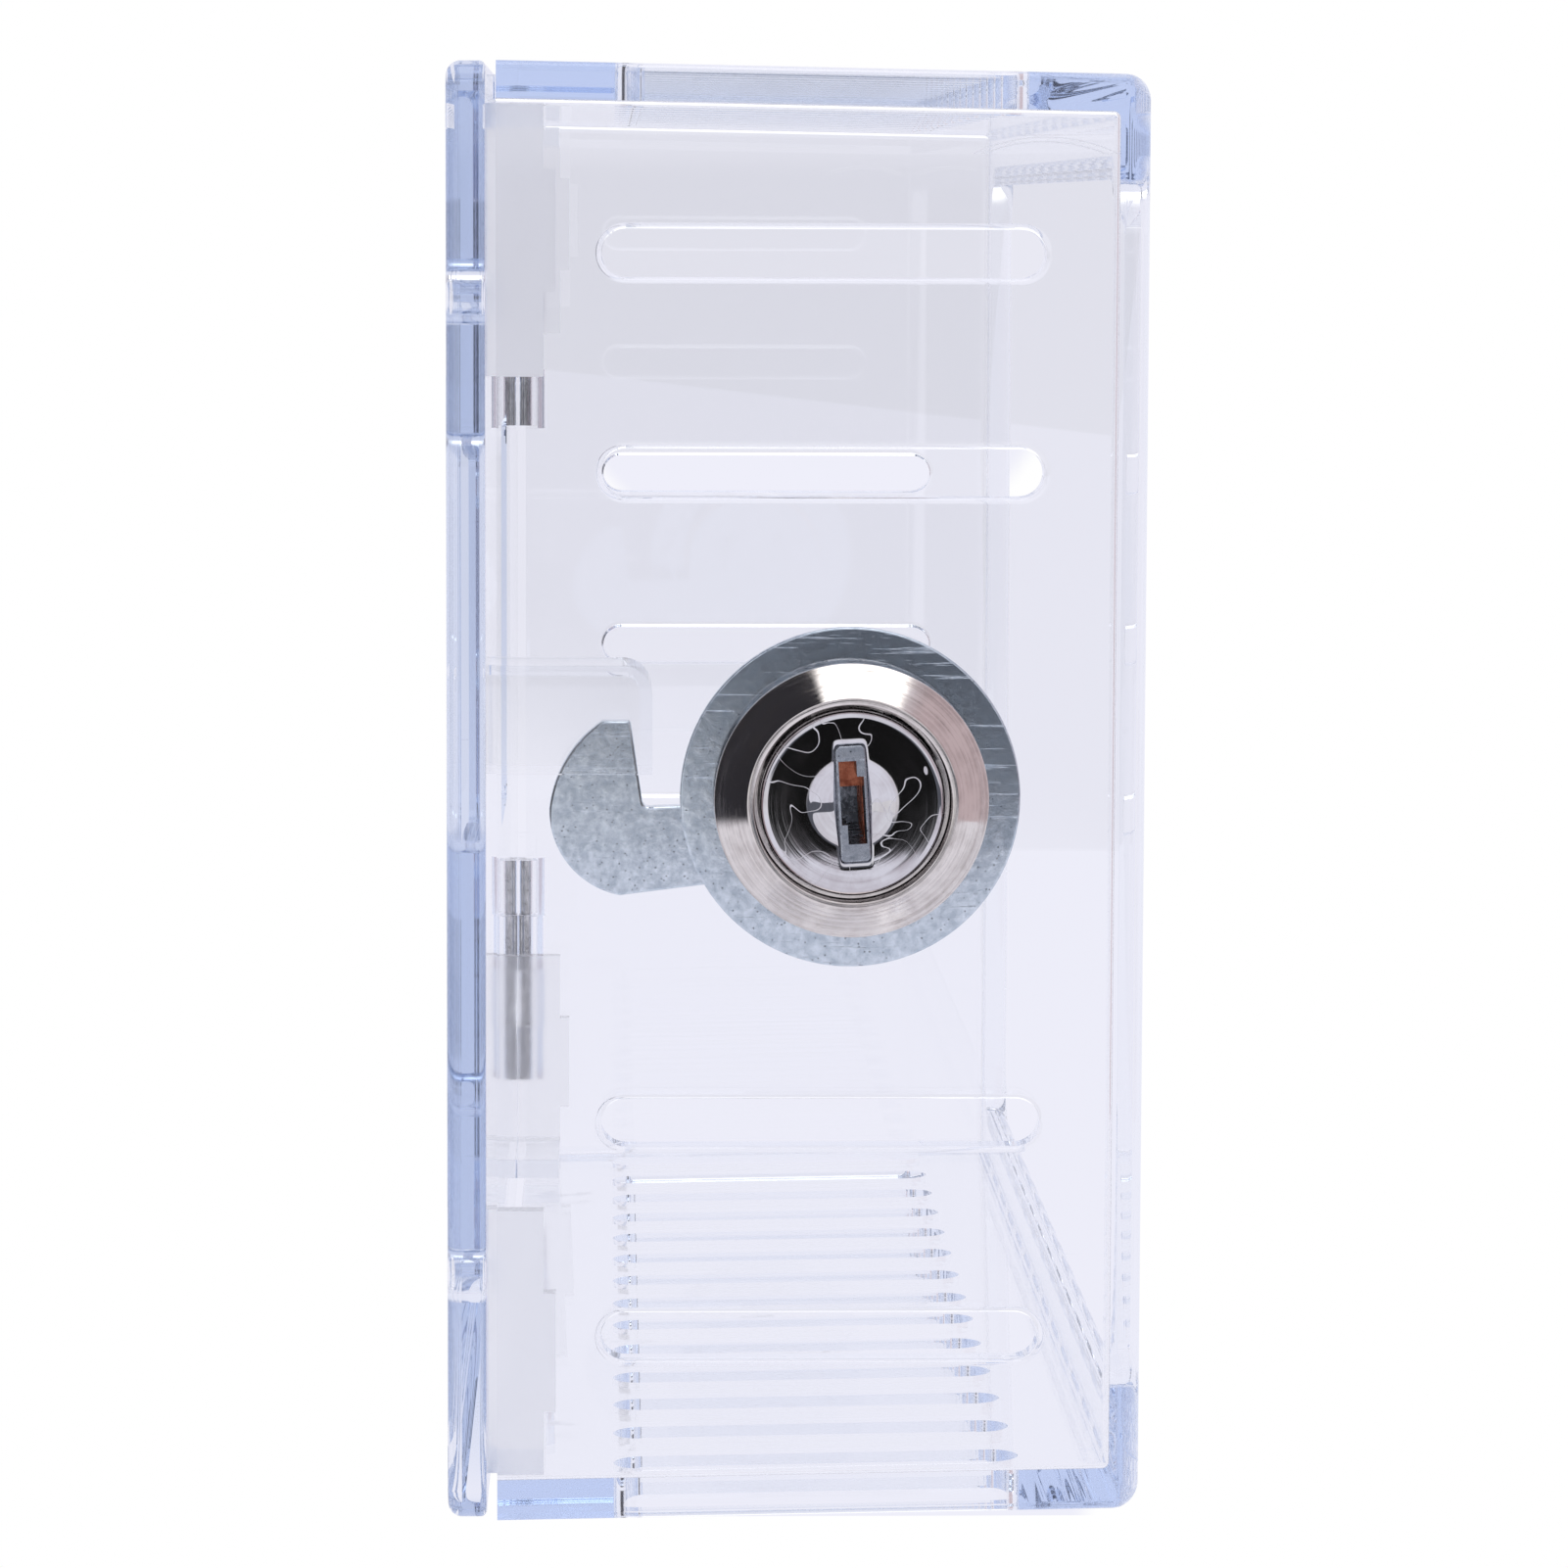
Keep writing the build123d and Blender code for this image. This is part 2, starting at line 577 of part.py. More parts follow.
# Split spring washer and the screw that holds the cam
with BuildPart() as spring_washer:
    with BuildSketch(plug_plane.offset(cam_end)):
        Circle(spring_washer_radius)
        Circle(screw_radius + screw_clearance, mode=Mode.SUBTRACT)
        with Locations((0, spring_washer_radius / 2)):
            Rectangle(spring_washer_gap, spring_washer_radius, mode=Mode.SUBTRACT)
    extrude(amount=spring_washer_thickness)
spring_washer.part.label = "spring_washer"
export_step(spring_washer.part, "parts/spring_washer.step")

screw_seat = cam_end + spring_washer_thickness
with BuildPart() as cam_screw:
    with BuildSketch(plug_plane.offset(screw_seat)):
        Circle(screw_head_radius)
    extrude(amount=screw_head_height)
    fillet(cam_screw.faces().sort_by(Axis.X)[-1].edges(), screw_head_round)
    with BuildSketch(plug_plane.offset(screw_seat)):
        Circle(screw_radius)
    extrude(amount=-screw_length)
    with BuildSketch(plug_plane.offset(screw_seat + screw_head_height)):
        Rectangle(recess_length, recess_width)
        Rectangle(recess_width, recess_length)
    extrude(amount=-recess_depth, mode=Mode.SUBTRACT)
cam_screw.part.label = "cam_screw"
export_step(cam_screw.part, "parts/cam_screw.step")
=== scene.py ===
import math

import bmesh
import bpy
import numpy as np
from mathutils import Matrix, Vector


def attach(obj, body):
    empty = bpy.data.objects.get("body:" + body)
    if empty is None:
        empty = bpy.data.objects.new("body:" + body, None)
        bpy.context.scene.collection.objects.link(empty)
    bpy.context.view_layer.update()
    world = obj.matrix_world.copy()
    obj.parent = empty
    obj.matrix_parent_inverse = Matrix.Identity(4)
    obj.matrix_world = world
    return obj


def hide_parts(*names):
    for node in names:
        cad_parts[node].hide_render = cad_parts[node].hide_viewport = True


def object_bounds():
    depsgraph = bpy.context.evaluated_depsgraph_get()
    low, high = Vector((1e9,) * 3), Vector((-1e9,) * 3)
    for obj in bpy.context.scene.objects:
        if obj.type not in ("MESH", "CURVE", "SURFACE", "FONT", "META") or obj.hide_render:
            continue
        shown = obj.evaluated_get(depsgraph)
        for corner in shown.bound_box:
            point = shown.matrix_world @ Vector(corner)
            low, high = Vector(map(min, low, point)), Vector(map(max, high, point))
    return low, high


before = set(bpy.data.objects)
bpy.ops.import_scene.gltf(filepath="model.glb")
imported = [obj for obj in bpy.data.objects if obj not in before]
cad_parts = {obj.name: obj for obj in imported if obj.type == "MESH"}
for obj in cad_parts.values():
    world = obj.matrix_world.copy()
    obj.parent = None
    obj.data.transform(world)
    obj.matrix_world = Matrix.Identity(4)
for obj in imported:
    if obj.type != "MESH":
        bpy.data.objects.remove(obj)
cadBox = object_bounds()
print("frame loaded:", len(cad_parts), "nodes")


# One sRGB hex colour to linear RGBA
def toLinear(hexColour):
    parts = [int(hexColour[i:i + 2], 16) / 255 for i in (1, 3, 5)]
    return [c / 12.92 if c <= 0.04045 else ((c + 0.055) / 1.055) ** 2.4 for c in parts] + [1.0]


# Adds one node. Settings go to its attributes, or to its inputs where the key names one, and links to inputs
def addNode(tree, kind, settings=None, links=None):
    node = tree.nodes.new(kind)
    for key, value in (settings or {}).items():
        if isinstance(key, int) or key in node.inputs:
            node.inputs[key].default_value = value
        else:
            setattr(node, key, value)
    for key, source in (links or {}).items():
        tree.links.new(source, node.inputs[key])
    return node


def newMaterial(name):
    material = bpy.data.materials.new(name)
    material.use_nodes = True
    material.node_tree.nodes.clear()
    return material, material.node_tree


# Camera at the lock end, a little above, looking along the box
cameraSpec = {
    "place": (-0.569246, -0.013238, 0.048255),  # metres
    "yaw": -1.707, "pitch": -5.569, "roll": 0.211,  # degrees, yaw 0 looks along +X
    "lens": 135.87, "sensor": 36.0,  # mm
    "nearest": 0.01, "farthest": 50,  # metres
}


def makeCamera(spec):
    yaw, pitch, roll = (math.radians(spec[key]) for key in ("yaw", "pitch", "roll"))
    forward = Vector((math.cos(pitch) * math.cos(yaw), math.cos(pitch) * math.sin(yaw), math.sin(pitch)))
    level = forward.cross(Vector((0, 0, 1))).normalized()
    upright = level.cross(forward)
    right = math.cos(roll) * level + math.sin(roll) * upright
    up = math.cos(roll) * upright - math.sin(roll) * level
    data = bpy.data.cameras.new("camera")
    data.lens = spec["lens"]
    data.sensor_width = spec["sensor"]
    data.clip_start = spec["nearest"]
    data.clip_end = spec["farthest"]
    camera = bpy.data.objects.new("camera", data)
    turn = Matrix((right, up, -forward)).transposed().to_4x4()
    camera.matrix_world = Matrix.Translation(spec["place"]) @ turn
    bpy.context.scene.collection.objects.link(camera)
    bpy.context.scene.camera = camera


makeCamera(cameraSpec)
print("camera made")

# Studio: a white sweep all round, with a soft shadow painted on it behind the box. The camera sees the sweep
# white, rays through the plastic see it a little darker, and reflections see the room. Each zone is an axis,
# the cosines where it starts and is full, a colour and a strength, and it covers the zones before it
studioSpec = {
    "white": "#ffffff", "paper": "#efeffa",
    "sweep": [
        ((0, -0.1125, 1), -0.0287, -0.0281, "#e9e9f3", 1.0),  # the sweep's upper part
        ((0, 0, 1), 0.25, 0.50, "#ffffff", 1.35),  # soft box overhead
    ],
    "room": [
        ((-1, 0, 0), 0.30, 0.80, "#f2f2f6", 1.0),  # the room on the lock's side
        ((-0.088, -0.36, 1), -0.021, 0.019, "#62656e", 1.0),  # a dark rail across it, whose edge slopes
        ((0, 0, 1), 0.004, 0.015, "#ececf4", 1.0),  # a pale wall above the rail
        ((1, 0, 0), -0.80, -0.40, "#efeffa", 1.0),  # and pale paper beside both
        ((0, -1, 0.15), 0.55, 0.80, "#cfbfc6", 1.0),  # a card on the box's front side
        ((0, 0.87, 0.5), 0.66, 0.74, "#303036", 1.0),  # a black flag on the wall's side
        ((0, -0.13, 1), 0.90, 0.94, "#ffffff", 2.2),  # soft box overhead
        ((-1, -0.0412, -0.0935), 0.99973, 0.99985, "#161616", 1.0),  # a dark stand in front of the lock
        ((1, 0, 0), 0.12, 0.35, "#efeffa", 1.0),  # the paper behind the box
    ],
    # The painted shadow is an oval of directions: its middle, its half size, and where its edge starts and
    # ends
    "shadowMiddle": (1.0, -0.0335, -0.02), "shadowHalf": (0.3, 0.046, 0.042), "shadowEdge": (0.9, 1.0),
}


def makeWorld(spec):
    world = bpy.data.worlds.new("studio")
    bpy.context.scene.world = world
    world.use_nodes = True
    tree = world.node_tree
    tree.nodes.clear()
    direction = addNode(tree, "ShaderNodeTexCoord").outputs["Generated"]
    path = addNode(tree, "ShaderNodeLightPath")
    seenAs = {}
    for kind in ("sweep", "room"):
        base = addNode(tree, "ShaderNodeRGB")
        base.outputs[0].default_value = toLinear(spec["paper"])
        seenAs[kind] = base.outputs[0]
        for axis, start, full, colour, strength in spec[kind]:
            lean = addNode(tree, "ShaderNodeVectorMath",
                           {"operation": "DOT_PRODUCT", 1: Vector(axis).normalized()}, {0: direction})
            step = addNode(tree, "ShaderNodeMapRange",
                           {"interpolation_type": "SMOOTHSTEP", "From Min": start, "From Max": full},
                           {"Value": lean.outputs["Value"]})
            lit = [c * strength for c in toLinear(colour)]
            zone = addNode(tree, "ShaderNodeMix", {"data_type": "RGBA", 7: lit},
                           {0: step.outputs[0], 6: seenAs[kind]})
            seenAs[kind] = zone.outputs[2]
    bounced = addNode(tree, "ShaderNodeMath", {"operation": "GREATER_THAN", 1: 0.5},
                      {0: path.outputs["Glossy Depth"]})
    seen = addNode(tree, "ShaderNodeMix", {"data_type": "RGBA"},
                   {0: bounced.outputs[0], 6: seenAs["sweep"], 7: seenAs["room"]})
    # Painted shadow: the camera sees the sweep white, except in this oval of directions behind the box
    middle, half = spec["shadowMiddle"], spec["shadowHalf"]
    oval = addNode(tree, "ShaderNodeMapping",
                   {"Location": [-m / h for m, h in zip(middle, half)], "Scale": [1 / h for h in half]},
                   {"Vector": direction})
    reach = addNode(tree, "ShaderNodeVectorMath", {"operation": "LENGTH"}, {0: oval.outputs[0]})
    edgeStart, edgeEnd = spec["shadowEdge"]
    bare = addNode(tree, "ShaderNodeMapRange",
                   {"interpolation_type": "SMOOTHSTEP", "From Min": edgeStart, "From Max": edgeEnd},
                   {"Value": reach.outputs["Value"]})
    white = addNode(tree, "ShaderNodeMath", {"operation": "MULTIPLY"},
                    {0: path.outputs["Is Camera Ray"], 1: bare.outputs[0]})
    direct = addNode(tree, "ShaderNodeMix", {"data_type": "RGBA", 7: toLinear(spec["white"])},
                     {0: white.outputs[0], 6: seen.outputs[2]})
    background = addNode(tree, "ShaderNodeBackground", {"Strength": 1.0}, {"Color": direct.outputs[2]})
    addNode(tree, "ShaderNodeOutputWorld", links={"Surface": background.outputs[0]})


makeWorld(studioSpec)
bpy.context.scene.view_settings.view_transform = "Standard"

# Floor: white paper, with a faint lilac shadow painted along it behind the box, shaped as a light on the
# lock's side would throw it. The painted shadow's sides are slopes from its apex. The paper lies at the
# box's lowest point
floorSpec = {
    "front": -0.60, "back": 1.6, "side": (-0.27, 0.14),  # metres
    "white": "#ffffff", "shadow": "#efeffa",
    "shadowApex": (-0.569, -0.013), "shadowSides": (-0.080, 0.012), "shadowSoft": 0.005,  # metres, and slopes
    "shadowStart": -0.086, "shadowFade": (0.24, 0.46),  # metres along the box
}


def makeFloor(spec, low):
    near, far = spec["side"]
    corners = [(spec["front"], near, low), (spec["back"], near, low), (spec["back"], far, low),
               (spec["front"], far, low)]
    mesh = bpy.data.meshes.new("floor")
    mesh.from_pydata(corners, [], [(0, 1, 2, 3)])
    floor = bpy.data.objects.new("floor", mesh)
    bpy.context.scene.collection.objects.link(floor)
    material, tree = newMaterial("white_paper_painted_shadow")
    # Painted shadow: a wedge of the paper between two slopes from its apex, from its start to its fade
    place = addNode(tree, "ShaderNodeTexCoord").outputs["Object"]
    fromShadowApex = addNode(tree, "ShaderNodeVectorMath", {"operation": "SUBTRACT", 1: (*spec["shadowApex"], 0)},
                       {0: place})
    axes = addNode(tree, "ShaderNodeSeparateXYZ", links={0: fromShadowApex.outputs[0]})
    slope = addNode(tree, "ShaderNodeMath", {"operation": "DIVIDE"}, {0: axes.outputs[1], 1: axes.outputs[0]})
    sides = []
    for edge, soft in zip(spec["shadowSides"], (-spec["shadowSoft"], spec["shadowSoft"])):
        side = addNode(tree, "ShaderNodeMapRange",
                       {"interpolation_type": "SMOOTHSTEP", "From Min": edge, "From Max": edge + soft},
                       {"Value": slope.outputs[0]})
        sides.append(side.outputs[0])
    beside = addNode(tree, "ShaderNodeMath", {"operation": "MAXIMUM"}, {0: sides[0], 1: sides[1]})
    along = addNode(tree, "ShaderNodeSeparateXYZ", links={0: place})
    before = addNode(tree, "ShaderNodeMath", {"operation": "LESS_THAN", 1: spec["shadowStart"]},
                     {0: along.outputs[0]})
    fadeStart, fadeEnd = spec["shadowFade"]
    beyond = addNode(tree, "ShaderNodeMapRange",
                     {"interpolation_type": "SMOOTHSTEP", "From Min": fadeStart, "From Max": fadeEnd},
                     {"Value": along.outputs[0]})
    ended = addNode(tree, "ShaderNodeMath", {"operation": "MAXIMUM"},
                    {0: beyond.outputs[0], 1: before.outputs[0]})
    bare = addNode(tree, "ShaderNodeMath", {"operation": "MAXIMUM"},
                   {0: beside.outputs[0], 1: ended.outputs[0]})
    # Painted shadow: the camera sees the paper white outside the wedge and lilac in it; other rays see it
    # lilac
    path = addNode(tree, "ShaderNodeLightPath")
    white = addNode(tree, "ShaderNodeMath", {"operation": "MULTIPLY"},
                    {0: path.outputs["Is Camera Ray"], 1: bare.outputs[0]})
    colour = addNode(tree, "ShaderNodeMix",
                     {"data_type": "RGBA", 6: toLinear(spec["shadow"]), 7: toLinear(spec["white"])},
                     {0: white.outputs[0]})
    glow = addNode(tree, "ShaderNodeEmission", {"Strength": 1.0}, {"Color": colour.outputs[2]})
    addNode(tree, "ShaderNodeOutputMaterial", links={"Surface": glow.outputs[0]})
    mesh.materials.append(material)


makeFloor(floorSpec, cadBox[0].z)
print("studio made")

# Clear acrylic, injection moulded and polished: it shows as bright edges, soft ripples and the blue of long
# light paths. The corner ribs' end faces are spark-eroded in the mould, so they look frosted
plasticSpec = {
    "ior": 1.49, "tint": "#fefefe",
    "absorbColour": "#309ced", "absorbDensity": 3.0,  # per metre
    "rippleSize": 11.0, "rippleDepth": 0.0000004,  # mm across, metres deep
    "frostFace": 84.6, "frostReach": 0.12, "frostGrain": 0.3,  # mm
    "frostRoughness": 0.42, "frostDepth": 0.000006,  # metres deep
    "scratchSize": 14.0, "scratchRate": 26.0,  # mm, and how much faster the noise runs across them
    "scratchTurns": (0.5, -0.9), "scratchTilt": 0.3,  # radians
    "scratchShown": (0.70, 0.74), "scratchRoughness": 0.12,  # heights of the noise
    "hairMiddle": (-88.0, -48.7, 40.4), "hairRadius": 13.56, "hairWidth": 0.06, "hairLow": 12.2,  # mm
    "hairRoughness": 0.5,
}


def makePlastic(name, spec):
    material, tree = newMaterial(name)
    place = addNode(tree, "ShaderNodeTexCoord").outputs["Object"]
    inMm = addNode(tree, "ShaderNodeVectorMath", {"operation": "SCALE", "Scale": 1000.0}, {0: place})
    # Frosted faces: |x| within a hair of the ribs' end faces
    axes = addNode(tree, "ShaderNodeSeparateXYZ", links={0: inMm.outputs[0]})
    across = addNode(tree, "ShaderNodeMath", {"operation": "ABSOLUTE"}, {0: axes.outputs[0]})
    frost = addNode(tree, "ShaderNodeMath",
                    {"operation": "COMPARE", 1: spec["frostFace"], 2: spec["frostReach"]},
                    {0: across.outputs[0]})
    # Handling scratches: long thin noise in two directions, kept where it peaks
    size, rate = spec["scratchSize"], spec["scratchRate"]
    shown, full = spec["scratchShown"]
    scratched = []
    for turn in spec["scratchTurns"]:
        drawn = addNode(tree, "ShaderNodeMapping",
                        {"Rotation": (turn, spec["scratchTilt"], turn),
                         "Scale": (1 / size, 1 / size, rate / size)},
                        {"Vector": inMm.outputs[0]})
        noise = addNode(tree, "ShaderNodeTexNoise", {"Scale": 1.0, "Detail": 3.0, "Roughness": 0.6},
                        {"Vector": drawn.outputs[0]})
        peaks = addNode(tree, "ShaderNodeMapRange", {"From Min": shown, "From Max": full},
                        {"Value": noise.outputs[0]})
        scratched.append(peaks.outputs[0])
    scratches = addNode(tree, "ShaderNodeMath", {"operation": "MAXIMUM"}, {0: scratched[0], 1: scratched[1]})
    # One curved hair scratch: a thin ring about its middle, cut off below
    fromHair = addNode(tree, "ShaderNodeVectorMath", {"operation": "SUBTRACT", 1: spec["hairMiddle"]},
                       {0: inMm.outputs[0]})
    hairReach = addNode(tree, "ShaderNodeVectorMath", {"operation": "LENGTH"}, {0: fromHair.outputs[0]})
    hairAxes = addNode(tree, "ShaderNodeSeparateXYZ", links={0: fromHair.outputs[0]})
    ring = addNode(tree, "ShaderNodeMath",
                   {"operation": "COMPARE", 1: spec["hairRadius"], 2: spec["hairWidth"]},
                   {0: hairReach.outputs["Value"]})
    above = addNode(tree, "ShaderNodeMath", {"operation": "GREATER_THAN", 1: spec["hairLow"]},
                    {0: hairAxes.outputs[2]})
    hair = addNode(tree, "ShaderNodeMath", {"operation": "MULTIPLY"},
                   {0: ring.outputs[0], 1: above.outputs[0]})
    worn = addNode(tree, "ShaderNodeMath", {"operation": "MULTIPLY", 1: spec["scratchRoughness"]},
                   {0: scratches.outputs[0]})
    frosted = addNode(tree, "ShaderNodeMath", {"operation": "MULTIPLY_ADD", 1: spec["frostRoughness"]},
                      {0: frost.outputs[0], 2: worn.outputs[0]})
    rough = addNode(tree, "ShaderNodeMath",
                    {"operation": "MULTIPLY_ADD", 1: spec["hairRoughness"], "use_clamp": True},
                    {0: hair.outputs[0], 2: frosted.outputs[0]})
    # Ripples of the moulding, and the grain of the frosted faces
    ripple = addNode(tree, "ShaderNodeTexNoise", {"Scale": 1 / spec["rippleSize"], "Detail": 1.0},
                     {"Vector": inMm.outputs[0]})
    rippled = addNode(tree, "ShaderNodeBump", {"Strength": 1.0, "Distance": spec["rippleDepth"]},
                      {"Height": ripple.outputs[0]})
    grain = addNode(tree, "ShaderNodeTexNoise", {"Scale": 1 / spec["frostGrain"], "Detail": 2.0},
                    {"Vector": inMm.outputs[0]})
    eroded = addNode(tree, "ShaderNodeMath", {"operation": "MULTIPLY"},
                     {0: grain.outputs[0], 1: frost.outputs[0]})
    grained = addNode(tree, "ShaderNodeBump", {"Strength": 1.0, "Distance": spec["frostDepth"]},
                      {"Height": eroded.outputs[0], "Normal": rippled.outputs[0]})
    shader = addNode(tree, "ShaderNodeBsdfPrincipled",
                     {"Base Color": toLinear(spec["tint"]), "IOR": spec["ior"], "Transmission Weight": 1.0},
                     {"Roughness": rough.outputs[0], "Normal": grained.outputs[0]})
    volume = addNode(tree, "ShaderNodeVolumeAbsorption",
                     {"Color": toLinear(spec["absorbColour"]), "Density": spec["absorbDensity"]})
    addNode(tree, "ShaderNodeOutputMaterial",
            links={"Surface": shader.outputs[0], "Volume": volume.outputs[0]})
    return material


# How wear and polishing lie on both turned metals, about the lock's axis
turnedSpec = {
    "middle": (-0.088, -0.0331, 0.0),  # metres
    "ringDrift": 0.05, "mottle": 0.45,  # per mm
    "wearShown": (0.18, 0.42), "wearRough": (0.15, 0.5),  # heights of the noise
    "swirl": 0.24, "swirlDetail": 0.6, "swirlBend": 0.9,  # per mm, then the noise's own settings
}

# Bright nickel plate over turned brass: fine rings from the tool, broken up by wear
nickelSpec = {
    **turnedSpec, "colour": "#e2dcd8", "worn": "#b9b1ad",
    "ringPitch": 0.20, "ringDepth": 0.000014,  # mm, metres
    "roughness": (0.06, 0.24), "hairWidth": 0.0, "hairRoughness": 0.0,
}

# Bright chrome plate over a dished steel cap: near mirror, with faint swirls from polishing
chromeSpec = {
    **turnedSpec, "colour": "#dcdbde", "worn": "#c2bcbf",
    "ringPitch": 0.65, "ringDepth": 0.0000010,
    "roughness": (0.02, 0.05), "hairWidth": 0.005, "hairRoughness": 0.4,  # width in noise height
}


def makeTurnedMetal(name, spec):
    material, tree = newMaterial(name)
    place = addNode(tree, "ShaderNodeTexCoord").outputs["Object"]
    centred = addNode(tree, "ShaderNodeMapping",
                      {"Location": [-1000 * c for c in spec["middle"]], "Scale": (1000, 1000, 1000)},
                      {"Vector": place})
    axes = addNode(tree, "ShaderNodeSeparateXYZ", links={0: centred.outputs[0]})
    flat = addNode(tree, "ShaderNodeCombineXYZ", links={1: axes.outputs[1], 2: axes.outputs[2]})
    reach = addNode(tree, "ShaderNodeVectorMath", {"operation": "LENGTH"}, {0: flat.outputs[0]})
    # Rings: noise that runs fast outwards and slowly round the axis
    ringPlace = addNode(tree, "ShaderNodeCombineXYZ", links={0: reach.outputs["Value"]})
    slow = addNode(tree, "ShaderNodeVectorMath", {"operation": "SCALE", "Scale": spec["ringDrift"]},
                   {0: flat.outputs[0]})
    fast = addNode(tree, "ShaderNodeVectorMath", {"operation": "SCALE", "Scale": 1 / spec["ringPitch"]},
                   {0: ringPlace.outputs[0]})
    spot = addNode(tree, "ShaderNodeVectorMath", {"operation": "ADD"},
                   {0: fast.outputs[0], 1: slow.outputs[0]})
    rings = addNode(tree, "ShaderNodeTexNoise", {"Scale": 1.0, "Detail": 3.0, "Roughness": 0.65},
                    {"Vector": spot.outputs[0]})
    mottle = addNode(tree, "ShaderNodeTexNoise", {"Scale": spec["mottle"], "Detail": 4.0, "Roughness": 0.6},
                     {"Vector": centred.outputs[0]})
    wear = addNode(tree, "ShaderNodeMath", {"operation": "MULTIPLY"},
                   {0: rings.outputs[0], 1: mottle.outputs[0]})
    shown, full = spec["wearShown"]
    worn = addNode(tree, "ShaderNodeMapRange", {"From Min": shown, "From Max": full},
                   {"Value": wear.outputs[0]})
    colour = addNode(tree, "ShaderNodeMix",
                     {"data_type": "RGBA", 6: toLinear(spec["colour"]), 7: toLinear(spec["worn"])},
                     {0: worn.outputs[0]})
    smooth, dull = spec["wearRough"]
    low, high = spec["roughness"]
    rough = addNode(tree, "ShaderNodeMapRange",
                    {"From Min": smooth, "From Max": dull, "To Min": low, "To Max": high},
                    {"Value": wear.outputs[0]})
    # Swirls that the polishing leaves: hair lines where a slow noise crosses its middle
    swirl = addNode(tree, "ShaderNodeTexNoise",
                    {"Scale": spec["swirl"], "Detail": spec["swirlDetail"], "Distortion": spec["swirlBend"]},
                    {"Vector": centred.outputs[0]})
    hair = addNode(tree, "ShaderNodeMath", {"operation": "COMPARE", 1: 0.5, 2: spec["hairWidth"]},
                   {0: swirl.outputs[0]})
    scuffed = addNode(tree, "ShaderNodeMath", {"operation": "MULTIPLY_ADD", 1: spec["hairRoughness"]},
                      {0: hair.outputs[0], 2: rough.outputs[0]})
    bump = addNode(tree, "ShaderNodeBump", {"Strength": 1.0, "Distance": spec["ringDepth"]},
                   {"Height": rings.outputs[0]})
    shader = addNode(tree, "ShaderNodeBsdfPrincipled", {"Metallic": 1.0},
                     {"Base Color": colour.outputs[2], "Roughness": scuffed.outputs[0],
                      "Normal": bump.outputs[0]})
    addNode(tree, "ShaderNodeOutputMaterial", links={"Surface": shader.outputs[0]})
    return material


# How tone, pits and scratches lie on all the rough metals
roughSpec = {
    "toneShown": (0.32, 0.68), "toneRough": (0.3, 0.7), "scratchShown": (0.62, 0.70),  # heights of the noise
    "scratchTurn": (0.6, 0.2, 0.1), "scratchRates": (1, 0.06, 2),  # radians, and the noise's pace by axis
    "pitFloor": 0.5,  # share of the pit's size where it is full depth
}

# Zinc plate with a blue passivate: satin, with dark pits and hairline scratches
zincSpec = {
    **roughSpec, "colour": "#dae2ea", "dull": "#b6c2cd", "pit": "#4a525d",
    "mottle": 0.75, "pitSpacing": 0.55, "pitSize": 0.16, "scratch": 0.6,  # mm
    "roughness": (0.08, 0.14), "bump": 0.0000036,  # metres deep
}

# Die-cast zinc, tumbled: duller and blotchier than the plated parts
castSpec = {
    **roughSpec, "colour": "#b4b9c1", "dull": "#7f858e", "pit": "#33363c",
    "mottle": 0.5, "pitSpacing": 0.7, "pitSize": 0.13, "scratch": 0.7,
    "roughness": (0.14, 0.40), "bump": 0.000008,
}

# Reddish brass strip, blanked: fine drag lines and a little tarnish
brassSpec = {
    **roughSpec, "colour": "#c27a5e", "dull": "#8d4a36", "pit": "#3a1c14",
    "mottle": 0.6, "pitSpacing": 0.9, "pitSize": 0.05, "scratch": 0.4,
    "roughness": (0.18, 0.35), "bump": 0.000003,
}

# Drawn steel rod and wire: bright grey with lengthwise drawing marks
steelSpec = {
    **roughSpec, "colour": "#c9c8c9", "dull": "#8a898b", "pit": "#3c3b3c",
    "mottle": 0.8, "pitSpacing": 1.4, "pitSize": 0.05, "scratch": 0.3,
    "roughness": (0.15, 0.30), "bump": 0.000003,
}


